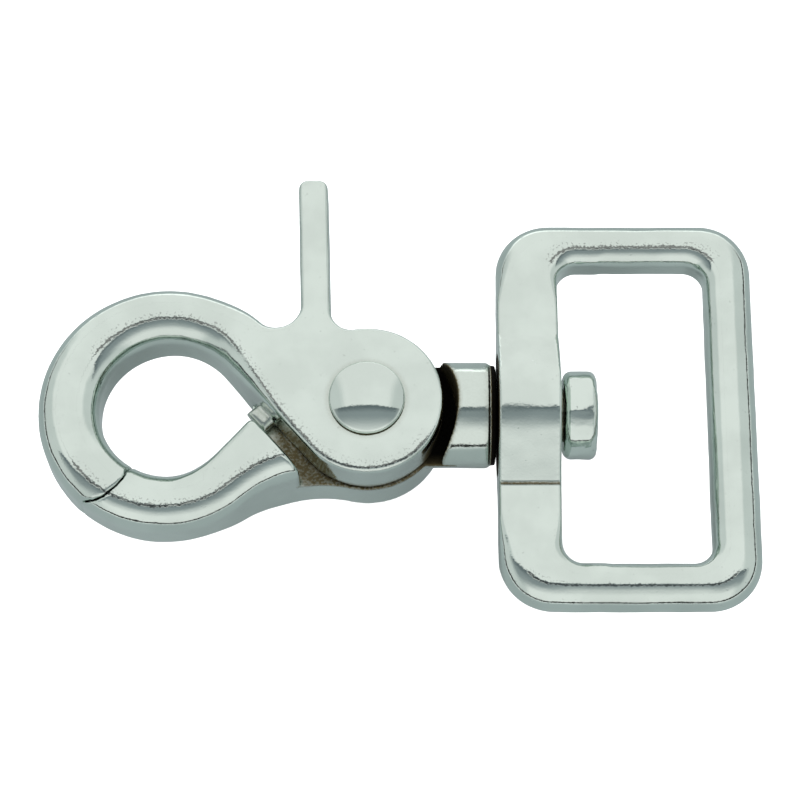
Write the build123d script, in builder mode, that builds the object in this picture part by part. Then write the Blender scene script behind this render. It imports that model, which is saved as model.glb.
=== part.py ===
"""Swivel trigger snap hook with a rectangular strap eye, in millimetres.

Frame: X runs along the swivel axis from the hook towards the strap eye, Y runs towards the
thumb trigger, Z is square to the flat of the hook. The origin is the centre of the hook's eye.
"""
from build123d import *
import math
import os

os.makedirs("parts", exist_ok=True)

# ---- hook ring and eye ----
EYE_R = 5.6             # round part of the eye
RING_R = 10.15          # outside of the ring
RING_X = -0.33          # the outside is set back, so the nose is thicker than the arms
EYE_END_X = 6.45        # straight right-hand wall of the eye
JAW_TANGENT = 45.0      # slope of the lower jaw's inner edge, degrees
HALF_T = 4.0            # half thickness of the hub
RING_HALF_T = 3.05      # half thickness of the ring
RING_ROUND = 1.9        # radius of the ring's edges
RAMP_START_X = 2.0      # between these the faces rise from the ring to the hub
RAMP_END_X = 9.0

# ---- hub ----
PIVOT_X = 15.65
FRONT_HUB_R = 6.05
REAR_HUB_R = 6.2
PLATE_GAP = 0.1         # each hub plate stands this far from the middle plane
SWEEP_R = 6.5           # the trigger jaw's rear half stays outside this circle
WEB_R = 10.0            # hollow under the body, between the ring and the hub
END_GAP = 1.6           # open gap between the front plate and the lower jaw's end face
DIVIDER_JAW = 7.4       # radial step between the rear halves, degrees above the -X axis
DIVIDER_BODY = 5.6
SPLIT_STEP = 0.1        # the other side of the split, along X and along Y

# ---- trigger ----
STEM_TOP = 18.9
STEM_ROOT_Y = 5.6
STEM_X = 11.55          # middle of the stem at its root
STEM_LEAN = -0.3        # the tip leans towards the hook by this much
STEM_W = 2.4
STEM_REAR_Z = -1.6
SADDLE_R = 1.8
SHOULDER_R = 1.6
SHOULDER_MIDDLE_ANGLE = 230.0
LUG_START = 4.2         # closing-stop lug, measured along the trigger jaw's inner edge
LUG_L = 2.1
LUG_W = 1.25
LUG_H = 1.3

# ---- rivet, spring ----
RIVET_R = 1.6
RIVET_CLEARANCE = 0.06
RIVET_HEAD_R = 3.0
RIVET_HEAD_H = 1.25
RIVET_HEAD_GAP = 0.05
REAR_HEAD_R = 2.5
REAR_HEAD_H = 0.6
REAR_HEAD_EDGE = 0.25
RIVET_RIM = 0.35        # short straight rim under the dome
POCKET_R = 4.3
POCKET_DEPTH = 1.9      # in each casting
SPRING_R = 2.7
WIRE_R = 0.35
SPRING_PITCH = 0.8
SPRING_TURNS = 3.5
LEG_SLOT_W = 1.1
LEG_SLOT_END = 5.2
LEG_END = 5.0
LEG_INSET = 0.1

# ---- barrel, swivel pin ----
BARREL_R = 4.22
BARREL_START_X = 20.3
BARREL_END_X = 25.49
CRESCENT_R = 7.15       # hollow left end of the barrel, round the hub
BARREL_EDGE = 0.5
LAND_R = 4.0            # thrust land on the barrel end, which the strap eye turns against
LAND_L = 0.38
PIN_R = 2.1
PIN_SEAT_X = 22.95
PIN_HEAD_R = 3.54
PIN_HEAD_X = 31.2
PIN_HEAD_L = 2.7
PIN_HEAD_EDGE = 0.6
PIN_CLEARANCE = 0.05

# ---- strap loop ----
LOOP_X0 = 26.0
LOOP_X1 = 46.7
LOOP_HALF_Y = 16.25
SLOT_X0 = 30.95
SLOT_X1 = 42.8
SLOT_HALF_Y = 12.5
LOOP_HALF_T = 1.95      # three of the bars are round, as thick as they are wide
LOOP_ROUND = 1.8
LOOP_CORNER_R = 4.2
SLOT_CORNER_R = 1.6
BAR_EDGE = 0.3
BOSS_R = 5.05
BOSS_BASE = 6.3         # where the boss's flanks meet the face of the bar

PIVOT = (PIVOT_X, 0)
HEAD_TOP_Z = HALF_T + RIVET_HEAD_GAP + RIVET_HEAD_H
FAR = 40.0


def polar(centre, radius, degrees):
    """A point at a distance and an angle from a centre."""
    angle = math.radians(degrees)
    return (centre[0] + radius * math.cos(angle), centre[1] + radius * math.sin(angle))


def towards(start, end, distance):
    """The point that lies a distance from start on the line to end."""
    length = math.dist(start, end)
    share = distance / length
    return (start[0] + (end[0] - start[0]) * share, start[1] + (end[1] - start[1]) * share)


# The trigger jaw's inner edge is one straight line that touches the eye and the front hub.
TANGENT_ANGLE = math.degrees(math.acos((EYE_R + FRONT_HUB_R) / PIVOT_X))
EYE_TANGENT = polar((0, 0), EYE_R, TANGENT_ANGLE)
HUB_TANGENT = polar(PIVOT, FRONT_HUB_R, TANGENT_ANGLE + 180)
END_FACE_NORMAL = TANGENT_ANGLE + 180
END_FACE_POINT = polar(PIVOT, FRONT_HUB_R + END_GAP, END_FACE_NORMAL)

# The lower jaw's inner edge leaves the eye at its own slope and ends at the eye's end wall.
JAW_TOUCH = polar((0, 0), EYE_R, JAW_TANGENT - 90)
JAW_CORNER = (EYE_END_X, JAW_TOUCH[1] + (EYE_END_X - JAW_TOUCH[0]) * math.tan(math.radians(JAW_TANGENT)))
EYE_TOP_CORNER = (
    EYE_END_X,
    EYE_TANGENT[1] - (EYE_END_X - EYE_TANGENT[0]) / math.tan(math.radians(TANGENT_ANGLE)),
)

# The split between the hook tips, from inside the eye to outside the ring.
SPLIT = [(-2.6, -4.6), (-3.2, -5.5), (-3.35, -6.1), (-3.9, -6.8), (-4.9, -7.65), (-5.7, -7.85), (-7.5, -7.6)]
SPLIT_OTHER = [(x + SPLIT_STEP, y - SPLIT_STEP) for x, y in SPLIT]


def polygon(*points):
    """A closed polygon as a face of its own."""
    with BuildSketch(mode=Mode.PRIVATE) as shape:
        with BuildLine():
            Polyline(*points, close=True)
        make_face()
    return shape.sketch


def eye_face():
    """The eye's outline: three quarters of a circle, two straight edges and an end wall."""
    with BuildSketch(mode=Mode.PRIVATE) as eye:
        with BuildLine():
            ThreePointArc(EYE_TANGENT, (-EYE_R, 0), JAW_TOUCH)
            Polyline(JAW_TOUCH, JAW_CORNER, EYE_TOP_CORNER, EYE_TANGENT)
        make_face()
    return eye.sketch


def web_face():
    """The hollow-sided web under the body that joins the ring to the rear hub."""
    gap = PIVOT_X - RING_X
    ring_reach = RING_R + WEB_R
    hub_reach = REAR_HUB_R + WEB_R
    along = (ring_reach**2 - hub_reach**2 + gap**2) / (2 * gap)
    centre = (RING_X + along, -math.sqrt(ring_reach**2 - along**2))
    on_ring = towards((RING_X, 0), centre, RING_R)
    on_hub = towards(PIVOT, centre, REAR_HUB_R)
    with BuildSketch(mode=Mode.PRIVATE) as web:
        with BuildLine():
            ThreePointArc(on_ring, (centre[0], centre[1] + WEB_R), on_hub)
            Polyline(on_hub, PIVOT, (RING_X, 0), on_ring)
        make_face()
    return web.sketch


def before_end_face():
    """The half plane on the hook's side of the lower jaw's end face."""
    along = polar(END_FACE_POINT, FAR, END_FACE_NORMAL - 90)
    back = polar(END_FACE_POINT, FAR, END_FACE_NORMAL + 90)
    return polygon(along, back, polar(back, FAR, END_FACE_NORMAL), polar(along, FAR, END_FACE_NORMAL))


def ramp_face(side):
    """The wedge, in the XZ plane, above a face that rises from the ring to the hub."""
    out = side * (HALF_T + 1)
    with BuildSketch(Plane.XZ, mode=Mode.PRIVATE) as ramp:
        with BuildLine():
            Polyline((RAMP_START_X, side * RING_HALF_T), (RAMP_END_X, side * HALF_T), (RAMP_END_X, out),
                     (RAMP_START_X - 1, out), (RAMP_START_X - 1, side * RING_HALF_T), close=True)
        make_face()
    return ramp.sketch


# A point half way along the rivet's dome.
DOME_RISE = RIVET_HEAD_H - RIVET_RIM
DOME_R = (RIVET_HEAD_R**2 + DOME_RISE**2) / (2 * DOME_RISE)
DOME_CENTRE_Z = HEAD_TOP_Z - DOME_R
DOME_MIDDLE = (PIVOT_X + RIVET_HEAD_R / 2, DOME_CENTRE_Z + math.sqrt(DOME_R**2 - RIVET_HEAD_R**2 / 4))

EYE = eye_face()
WEB = web_face()
BELOW_SPLIT = polygon(*reversed(SPLIT_OTHER), (0, 0), (FAR, 0), (FAR, -FAR), (SPLIT_OTHER[-1][0], -FAR))
ABOVE_SPLIT = polygon(*SPLIT, (-FAR, SPLIT[-1][1]), (-FAR, FAR), (FAR, FAR), PIVOT,
                      polar(PIVOT, PIVOT_X, 180 - DIVIDER_JAW))
BELOW_DIVIDER = polygon(PIVOT, polar(PIVOT, PIVOT_X, 180 - DIVIDER_BODY), (0, -FAR), (FAR, -FAR), (FAR, 0))

# ================= body =================
with BuildPart() as body:
    # Lower jaw, round-edged.
    with BuildSketch(Plane.XY.offset(-RING_HALF_T)):
        with Locations((RING_X, 0)):
            Circle(RING_R)
        add(WEB)
        add(EYE, mode=Mode.SUBTRACT)
        add(before_end_face(), mode=Mode.INTERSECT)
        add(BELOW_SPLIT, mode=Mode.INTERSECT)
    extrude(amount=2 * RING_HALF_T)
    for jaw_face in (body.faces().sort_by(Axis.Z)[-1], body.faces().sort_by(Axis.Z)[0]):
        fillet(jaw_face.edges().filter_by(GeomType.CIRCLE), radius=RING_ROUND)
    # The jaw thickens towards its end face.
    with BuildSketch(Plane.XY.offset(-HALF_T)):
        with Locations((RING_X, 0)):
            Circle(RING_R - RING_ROUND)
        add(WEB)
        with Locations((0, 0)):
            Circle(EYE_R + RING_ROUND, mode=Mode.SUBTRACT)
        add(EYE, mode=Mode.SUBTRACT)
        add(before_end_face(), mode=Mode.INTERSECT)
        add(polygon((RAMP_START_X, 0), (FAR, 0), (FAR, -FAR), (RAMP_START_X, -FAR)), mode=Mode.INTERSECT)
    extrude(amount=2 * HALF_T)
    # Rear hub plate.
    with BuildSketch(Plane.XY.offset(-HALF_T)):
        with Locations((RING_X, 0)):
            Circle(RING_R)
        add(WEB)
        add(EYE, mode=Mode.SUBTRACT)
        add(before_end_face(), mode=Mode.SUBTRACT)
        with Locations(PIVOT):
            Circle(REAR_HUB_R)
        add(BELOW_DIVIDER, mode=Mode.INTERSECT)
        with Locations(PIVOT):
            Circle(REAR_HUB_R)
    extrude(amount=HALF_T - PLATE_GAP)
    for side in (1, -1):
        extrude(ramp_face(side), amount=FAR, both=True, mode=Mode.SUBTRACT)
    # Swivel barrel, hollowed round the front hub.
    with BuildSketch(Plane.YZ.offset(BARREL_START_X)):
        Circle(BARREL_R)
    extrude(amount=BARREL_END_X - BARREL_START_X)
    barrel_end = body.faces().sort_by(Axis.X)[-1]
    fillet(barrel_end.edges(), radius=BARREL_EDGE)
    with BuildSketch(Plane.YZ.offset(BARREL_END_X - 2 * BARREL_EDGE)):
        Circle(LAND_R)
    extrude(amount=2 * BARREL_EDGE + LAND_L)
    with BuildSketch(Plane.XY.offset(-PLATE_GAP)):
        with Locations(PIVOT):
            Circle(CRESCENT_R)
        add(before_end_face(), mode=Mode.SUBTRACT)
    extrude(amount=2 * HALF_T, mode=Mode.SUBTRACT)
    # Seat of the swivel pin, blind.
    with BuildSketch(Plane.YZ.offset(PIN_SEAT_X)):
        Circle(PIN_R)
    extrude(amount=BARREL_END_X + LAND_L - PIN_SEAT_X, mode=Mode.SUBTRACT)
    # Spring pocket with the slot for the spring's fixed leg, and the rivet hole.
    with BuildSketch(Plane.XY.offset(-PLATE_GAP)):
        with Locations(PIVOT):
            Circle(POCKET_R)
        with Locations((PIVOT_X + LEG_SLOT_END / 2, 0)):
            Rectangle(LEG_SLOT_END, LEG_SLOT_W)
    extrude(amount=-POCKET_DEPTH, mode=Mode.SUBTRACT)
    with BuildSketch(Plane.XY.offset(-HALF_T)):
        with Locations(PIVOT):
            Circle(RIVET_R)
    extrude(amount=HALF_T, mode=Mode.SUBTRACT)
body.part.label = "body"
export_step(body.part, "parts/body.step")

# ================= trigger jaw =================
STEM_LEFT = STEM_X - STEM_W / 2
STEM_RIGHT = STEM_X + STEM_W / 2
SADDLE = (STEM_LEFT - SADDLE_R, math.sqrt((RING_R + SADDLE_R) ** 2 - (STEM_LEFT - SADDLE_R - RING_X) ** 2))
SADDLE_ON_RING = towards((RING_X, 0), SADDLE, RING_R)
SHOULDER_X = STEM_RIGHT + SHOULDER_R
SHOULDER = (SHOULDER_X, math.sqrt((FRONT_HUB_R + SHOULDER_R) ** 2 - (SHOULDER_X - PIVOT_X) ** 2))
SHOULDER_ON_HUB = towards(PIVOT, SHOULDER, FRONT_HUB_R)
SHOULDER_MIDDLE = polar(SHOULDER, SHOULDER_R, SHOULDER_MIDDLE_ANGLE)
TIP_LEFT = (STEM_LEFT + STEM_LEAN, STEM_TOP)
TIP_RIGHT = (STEM_RIGHT + STEM_LEAN, STEM_TOP)

with BuildPart() as trigger_jaw:
    # Hook arm, round-edged.
    with BuildSketch(Plane.XY.offset(-RING_HALF_T)):
        with Locations((RING_X, 0)):
            Circle(RING_R)
        add(EYE, mode=Mode.SUBTRACT)
        with Locations(PIVOT):
            Circle(SWEEP_R, mode=Mode.SUBTRACT)
        add(ABOVE_SPLIT, mode=Mode.INTERSECT)
    extrude(amount=2 * RING_HALF_T)
    for arm_face in (trigger_jaw.faces().sort_by(Axis.Z)[-1], trigger_jaw.faces().sort_by(Axis.Z)[0]):
        round_arcs = arm_face.edges().filter_by(GeomType.CIRCLE).sort_by(SortBy.LENGTH)[-2:]
        fillet(round_arcs, radius=RING_ROUND)
    # Front hub plate and the trigger's stem in one outline.
    with BuildSketch(Plane.XY.offset(PLATE_GAP)):
        with BuildLine():
            Line(EYE_TANGENT, HUB_TANGENT)
            ThreePointArc(HUB_TANGENT, (PIVOT_X + FRONT_HUB_R, 0), SHOULDER_ON_HUB)
            ThreePointArc(SHOULDER_ON_HUB, SHOULDER_MIDDLE, (STEM_RIGHT, SHOULDER[1]))
            Polyline((STEM_RIGHT, SHOULDER[1]), (STEM_RIGHT, SADDLE[1]), TIP_RIGHT, TIP_LEFT,
                     (STEM_LEFT, SADDLE[1]))
            ThreePointArc((STEM_LEFT, SADDLE[1]), (SADDLE[0], SADDLE[1] - SADDLE_R), SADDLE_ON_RING)
            Line(SADDLE_ON_RING, EYE_TANGENT)
        make_face()
    extrude(amount=HALF_T - PLATE_GAP)
    extrude(ramp_face(1), amount=FAR, both=True, mode=Mode.SUBTRACT)
    # The stem is thicker than the plate, towards the rear.
    with BuildSketch(Plane.XY.offset(STEM_REAR_Z)):
        add(polygon((STEM_LEFT, STEM_ROOT_Y), (STEM_RIGHT, STEM_ROOT_Y), (STEM_RIGHT, SADDLE[1]), TIP_RIGHT,
                    TIP_LEFT, (STEM_LEFT, SADDLE[1])))
    extrude(amount=HALF_T / 2 - STEM_REAR_Z)
    # Closing-stop lug beside the gap.
    with BuildSketch(Plane.XY.offset(PLATE_GAP)):
        add(polygon(towards(EYE_TANGENT, HUB_TANGENT, LUG_START),
                    towards(EYE_TANGENT, HUB_TANGENT, LUG_START + LUG_L),
                    polar(towards(EYE_TANGENT, HUB_TANGENT, LUG_START + LUG_L), LUG_W, END_FACE_NORMAL),
                    polar(towards(EYE_TANGENT, HUB_TANGENT, LUG_START), LUG_W, END_FACE_NORMAL)))
    extrude(amount=LUG_H)
    # Spring pocket with the slot for the spring's moving leg, and the rivet hole.
    with BuildSketch(Plane.XY.offset(PLATE_GAP)):
        with Locations(PIVOT):
            Circle(POCKET_R)
        with Locations((PIVOT_X - LEG_SLOT_END / 2, 0)):
            Rectangle(LEG_SLOT_END, LEG_SLOT_W)
    extrude(amount=POCKET_DEPTH, mode=Mode.SUBTRACT)
    with BuildSketch(Plane.XY):
        with Locations(PIVOT):
            Circle(RIVET_R + RIVET_CLEARANCE)
    extrude(amount=HALF_T, mode=Mode.SUBTRACT)
trigger_jaw.part.label = "trigger_jaw"
export_step(trigger_jaw.part, "parts/trigger_jaw.step")

# ================= pivot rivet =================
with BuildPart() as pivot_rivet:
    with BuildSketch(Plane.XZ):
        with BuildLine():
            Polyline((PIVOT_X, HEAD_TOP_Z), (PIVOT_X, -HALF_T - REAR_HEAD_H),
                     (PIVOT_X + REAR_HEAD_R - REAR_HEAD_EDGE, -HALF_T - REAR_HEAD_H),
                     (PIVOT_X + REAR_HEAD_R, -HALF_T - REAR_HEAD_H + REAR_HEAD_EDGE),
                     (PIVOT_X + REAR_HEAD_R, -HALF_T), (PIVOT_X + RIVET_R, -HALF_T),
                     (PIVOT_X + RIVET_R, HALF_T + RIVET_HEAD_GAP),
                     (PIVOT_X + RIVET_HEAD_R, HALF_T + RIVET_HEAD_GAP),
                     (PIVOT_X + RIVET_HEAD_R, HALF_T + RIVET_HEAD_GAP + RIVET_RIM))
            ThreePointArc((PIVOT_X + RIVET_HEAD_R, HALF_T + RIVET_HEAD_GAP + RIVET_RIM), DOME_MIDDLE,
                          (PIVOT_X, HEAD_TOP_Z))
        make_face()
    revolve(axis=Axis((PIVOT_X, 0, 0), (0, 0, 1)))
pivot_rivet.part.label = "pivot_rivet"
export_step(pivot_rivet.part, "parts/pivot_rivet.step")

# ================= torsion spring =================
SPRING_H = SPRING_PITCH * SPRING_TURNS
with BuildPart() as torsion_spring:
    with BuildLine():
        Helix(pitch=SPRING_PITCH, height=SPRING_H, radius=SPRING_R, center=(PIVOT_X, 0, -SPRING_H / 2))
    with BuildSketch(Plane.XZ):
        with Locations((PIVOT_X + SPRING_R, -SPRING_H / 2)):
            Circle(WIRE_R)
    sweep(is_frenet=True)
    for side, z in ((1, -SPRING_H / 2), (-1, SPRING_H / 2)):
        with BuildSketch(Plane(origin=(PIVOT_X + side * (SPRING_R - LEG_INSET), 0, z), x_dir=(0, 1, 0),
                               z_dir=(side, 0, 0))):
            Circle(WIRE_R)
        extrude(amount=LEG_END - SPRING_R + LEG_INSET)
torsion_spring.part.label = "torsion_spring"
export_step(torsion_spring.part, "parts/torsion_spring.step")

# ================= swivel pin =================
with BuildPart() as swivel_pin:
    with BuildSketch(Plane.YZ.offset(PIN_SEAT_X)):
        Circle(PIN_R)
    extrude(amount=PIN_HEAD_X - PIN_SEAT_X)
    with BuildSketch(Plane.YZ.offset(PIN_HEAD_X)):
        Circle(PIN_HEAD_R)
    extrude(amount=PIN_HEAD_L)
    head_ends = swivel_pin.edges().filter_by(GeomType.CIRCLE).filter_by(lambda e: e.radius > PIN_R + 1)
    fillet(head_ends, radius=PIN_HEAD_EDGE)
swivel_pin.part.label = "swivel_pin"
export_step(swivel_pin.part, "parts/swivel_pin.step")

# ================= strap loop =================
# The boss's flanks are planes that touch the boss and run down to the bar's face.
BASE_ANGLE = math.degrees(math.atan2(LOOP_HALF_T, BOSS_BASE))
TOUCH_ANGLE = BASE_ANGLE + math.degrees(math.acos(BOSS_R / math.hypot(BOSS_BASE, LOOP_HALF_T)))
TOUCH = polar((0, 0), BOSS_R, TOUCH_ANGLE)

with BuildPart() as strap_loop:
    with BuildSketch(Plane.XY.offset(-LOOP_HALF_T)):
        with Locations(((LOOP_X0 + LOOP_X1) / 2, 0)):
            RectangleRounded(LOOP_X1 - LOOP_X0, 2 * LOOP_HALF_Y, LOOP_CORNER_R)
        with Locations(((SLOT_X0 + SLOT_X1) / 2, 0)):
            RectangleRounded(SLOT_X1 - SLOT_X0, 2 * SLOT_HALF_Y, SLOT_CORNER_R, mode=Mode.SUBTRACT)
    extrude(amount=2 * LOOP_HALF_T)
    for loop_face in (strap_loop.faces().sort_by(Axis.Z)[-1], strap_loop.faces().sort_by(Axis.Z)[0]):
        fillet(loop_face.edges(), radius=LOOP_ROUND)
    # The bar next to the barrel is flat up to the slot.
    with BuildSketch(Plane.XY.offset(-LOOP_HALF_T)):
        with Locations(((LOOP_X0 + SLOT_X0) / 2, 0)):
            Rectangle(SLOT_X0 - LOOP_X0, 2 * (SLOT_HALF_Y - SLOT_CORNER_R))
    extrude(amount=2 * LOOP_HALF_T)
    # Round boss with its flanks, and the swivel bore.
    with BuildSketch(Plane.YZ.offset(LOOP_X0)):
        Circle(BOSS_R)
        add(polygon((BOSS_BASE, LOOP_HALF_T), TOUCH, (-TOUCH[0], TOUCH[1]), (-BOSS_BASE, LOOP_HALF_T),
                    (-BOSS_BASE, -LOOP_HALF_T), (-TOUCH[0], -TOUCH[1]), (TOUCH[0], -TOUCH[1]),
                    (BOSS_BASE, -LOOP_HALF_T)))
    extrude(amount=SLOT_X0 - LOOP_X0)
    with BuildSketch(Plane.YZ.offset(LOOP_X0)):
        Circle(PIN_R + PIN_CLEARANCE)
    extrude(amount=SLOT_X0 - LOOP_X0, mode=Mode.SUBTRACT)
strap_loop.part.label = "strap_loop"
export_step(strap_loop.part, "parts/strap_loop.step")
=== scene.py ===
"""Looks of the swivel trigger snap hook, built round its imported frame.

Shapes are worked out in millimetres as distance fields, which are negative inside the metal, and
each is turned into one closed mesh in metres. X runs along the swivel axis, Y towards the thumb
trigger and Z out of the front face. The origin is the centre of the hook's eye.
"""

import logging
import math
from dataclasses import dataclass
from enum import Enum
from typing import Callable

import bpy
import numpy as np
import openvdb
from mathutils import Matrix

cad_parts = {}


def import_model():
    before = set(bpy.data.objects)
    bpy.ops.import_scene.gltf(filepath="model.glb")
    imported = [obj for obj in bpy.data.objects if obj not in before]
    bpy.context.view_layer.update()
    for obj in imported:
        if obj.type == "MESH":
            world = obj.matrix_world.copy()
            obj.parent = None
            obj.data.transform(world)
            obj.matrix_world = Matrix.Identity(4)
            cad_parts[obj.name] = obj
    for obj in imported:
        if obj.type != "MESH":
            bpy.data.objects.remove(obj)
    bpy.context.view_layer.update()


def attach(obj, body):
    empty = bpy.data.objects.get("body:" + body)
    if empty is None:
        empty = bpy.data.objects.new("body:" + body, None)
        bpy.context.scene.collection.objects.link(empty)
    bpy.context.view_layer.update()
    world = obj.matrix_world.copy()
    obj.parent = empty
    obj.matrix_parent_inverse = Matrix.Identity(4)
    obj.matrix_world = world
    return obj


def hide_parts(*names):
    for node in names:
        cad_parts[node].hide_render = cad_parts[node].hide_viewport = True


LOG = logging.getLogger("snap_hook")
MM = 0.001
# A "rim" value this large marks places far from any painted dark reflection line.
NO_PAINTED_LINE = 9.0
# Slope, in degrees, at which the painted dark reflection line sits on a rounded edge.
CARD_TILT = 10.0
SPLIT_EDGE = 0.12  # rounding along the split between the hook tips, mm
Point = tuple[float, float]
Field = Callable[[np.ndarray, np.ndarray, np.ndarray], np.ndarray]


class Body(Enum):
    """The three bodies of the frame."""

    HOOK = "hook_body"
    JAW = "jaw"
    LOOP = "loop"


# ---------------------------------------------------------------- plane geometry


def polar(centre: Point, radius: float, degrees: float) -> Point:
    """Returns the point at a distance and an angle from a centre."""
    angle = math.radians(degrees)
    return (centre[0] + radius * math.cos(angle), centre[1] + radius * math.sin(angle))


def bearing(centre: Point, point: Point) -> float:
    """Returns the direction of a point seen from a centre, in degrees."""
    return math.degrees(math.atan2(point[1] - centre[1], point[0] - centre[0]))


def arc(centre: Point, radius: float, start: float, end: float, step: float = 2.0) -> list[Point]:
    """Divides an arc into points.

    Args:
        centre: the arc's centre.
        radius: its radius.
        start: its first angle in degrees.
        end: its last angle, smaller than start for a clockwise arc.
        step: the largest angle between two points.

    Returns:
        The points, both ends included.
    """
    count = max(2, math.ceil(abs(end - start) / step) + 1)
    return [polar(centre, radius, a) for a in np.linspace(start, end, count)]


def outline_distance(points: list[Point], x: np.ndarray, y: np.ndarray) -> np.ndarray:
    """Signed distance to a closed outline.

    Args:
        points: the outline's corners in order.
        x: coordinates to measure at.
        y: coordinates to measure at.

    Returns:
        The distance, negative inside.
    """
    x, y = np.broadcast_arrays(x, y)
    nearest = np.full(x.shape, 1e9)
    inside = np.zeros(x.shape, bool)
    for (ax, ay), (bx, by) in zip(points, points[1:] + points[:1]):
        dx, dy = bx - ax, by - ay
        length = dx * dx + dy * dy
        if length < 1e-12:
            continue
        share = np.clip(((x - ax) * dx + (y - ay) * dy) / length, 0, 1)
        nearest = np.minimum(nearest, (x - ax - share * dx) ** 2 + (y - ay - share * dy) ** 2)
        if ay != by:
            crosses = ((ay > y) != (by > y)) & (x < dx * (y - ay) / dy + ax)
            inside ^= crosses
    return np.where(inside, -1, 1) * np.sqrt(nearest)


def rounded_rectangle(
    x: np.ndarray, y: np.ndarray, low: Point, high: Point, radius: float
) -> np.ndarray:
    """Signed distance to an upright rectangle with round corners.

    Args:
        x: coordinates to measure at.
        y: coordinates to measure at.
        low: its lowest corner.
        high: its highest corner.
        radius: its corners' radius.

    Returns:
        The distance, negative inside.
    """
    dx = np.abs(x - (low[0] + high[0]) / 2) - (high[0] - low[0]) / 2 + radius
    dy = np.abs(y - (low[1] + high[1]) / 2) - (high[1] - low[1]) / 2 + radius
    outside = np.hypot(np.maximum(dx, 0), np.maximum(dy, 0))
    return outside + np.minimum(np.maximum(dx, dy), 0) - radius


# ---------------------------------------------------------------- field geometry


def ease(low: float, high: float, value: np.ndarray) -> np.ndarray:
    """Returns 0 below low and 1 above high, with a smooth rise between."""
    t = np.clip((value - low) / (high - low), 0, 1)
    return t * t * (3 - 2 * t)


def edge(a: np.ndarray, b: np.ndarray, radius: float | np.ndarray) -> np.ndarray:
    """Keeps what is inside both fields, with the edge between them rounded to a radius."""
    return np.minimum(-radius, np.maximum(a, b)) + np.hypot(
        np.maximum(a + radius, 0), np.maximum(b + radius, 0)
    )


def painted_reflection_line(
    flat: Callable[[np.ndarray, np.ndarray], np.ndarray],
    radius: np.ndarray,
    x: np.ndarray,
    y: np.ndarray,
) -> np.ndarray:
    """Distance from the painted dark reflection line, where a face turns down towards -Y.

    Args:
        flat: the piece's outline as a field.
        radius: the edge's radius at each point.
        x: coordinates of the points.
        y: coordinates of the points.

    Returns:
        The distance, or more than NO_PAINTED_LINE where the edge turns another way.
    """
    reach = 0.06
    slope = (flat(x, y + reach) - flat(x, y - reach)) / (2 * reach)
    turned = 1 - math.sin(math.radians(CARD_TILT))
    line = flat(x, y) + turned * radius
    return line + np.sign(line) * NO_PAINTED_LINE * (1 - ease(0.15, 0.6, -slope))


def waves(points: np.ndarray, seed: int, wavelength: float, count: int = 9) -> np.ndarray:
    """A smooth uneven surface value at each point, about -1 to 1.

    Args:
        points: positions in millimetres.
        seed: fixes the pattern.
        wavelength: the typical distance between two crests.
        count: how many waves are added up.

    Returns:
        One value for each point.
    """
    rng = np.random.default_rng(seed)
    ways = rng.normal(size=(count, 3))
    ways *= (2 * math.pi / wavelength) / np.linalg.norm(ways, axis=1)[:, None]
    ways *= rng.uniform(0.6, 1.5, (count, 1))
    phases = rng.uniform(0, 2 * math.pi, count)
    return np.sin(points @ ways.T + phases).sum(1) / math.sqrt(count) / 1.5


def relaxed(points: np.ndarray, quads: np.ndarray, rounds: int) -> np.ndarray:
    """Evens out the small steps that a grid leaves, without shrinking the shape.

    Args:
        points: the mesh's points.
        quads: its faces, as point numbers.
        rounds: how often the pair of smoothing steps is done.

    Returns:
        The new points.
    """
    ring = np.roll(quads, -1, axis=1)
    start = np.concatenate([quads.ravel(), ring.ravel()])
    end = np.concatenate([ring.ravel(), quads.ravel()])
    count = np.bincount(start, minlength=len(points))[:, None]
    for factor in (0.55, -0.57) * rounds:
        near = np.stack([np.bincount(start, points[end, i], len(points)) for i in range(3)], 1)
        points = points + factor * (near / count - points)
    return points


def outward(points: np.ndarray, quads: np.ndarray) -> np.ndarray:
    """Returns each point's outward normal."""
    cross = np.cross(
        points[quads[:, 2]] - points[quads[:, 0]], points[quads[:, 3]] - points[quads[:, 1]]
    )
    total = np.zeros_like(points)
    for corner in range(4):
        for i in range(3):
            total[:, i] += np.bincount(quads[:, corner], cross[:, i], len(points))
    return total / np.maximum(np.linalg.norm(total, axis=1), 1e-9)[:, None]


@dataclass(frozen=True)
class Skin:
    """How unevenly a casting's surface came out, in millimetres."""

    seed: int
    swell: float = 0.022
    swell_size: float = 5.5
    ripple: float = 0.006
    ripple_size: float = 1.5

    def shift(self, points: np.ndarray) -> np.ndarray:
        """Returns how far each point moves along its normal."""
        slow = waves(points, self.seed, self.swell_size)
        quick = waves(points, self.seed + 1, self.ripple_size)
        return self.swell * slow + self.ripple * quick - self.swell * 0.5


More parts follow.
